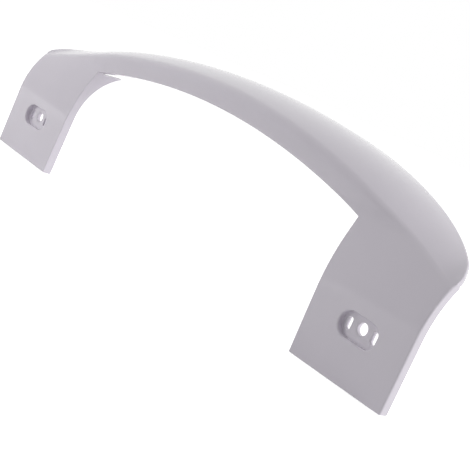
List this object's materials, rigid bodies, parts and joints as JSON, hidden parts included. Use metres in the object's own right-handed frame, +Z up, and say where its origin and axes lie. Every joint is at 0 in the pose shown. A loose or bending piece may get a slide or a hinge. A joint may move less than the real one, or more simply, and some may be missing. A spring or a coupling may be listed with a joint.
{
  "type": "fridge door handle",
  "caption": "White bow handle for a refrigerator door: an arched, hollow grip between flat screw plates, curved to follow the door's rounded upper edge.",
  "frame": {"origin": "midway between the two screw holes, on the door side of the plates", "axes": "+X along the handle from one plate to the other, +Y into the door, +Z up from the plates towards the grip"},
  "size_m": [0.312, 0.0547, 0.0909],
  "materials": {
    "body": "gloss white, smooth moulded surface"
  },
  "bodies": {
    "root": {"handle": "body"}
  },
  "joints": []
}
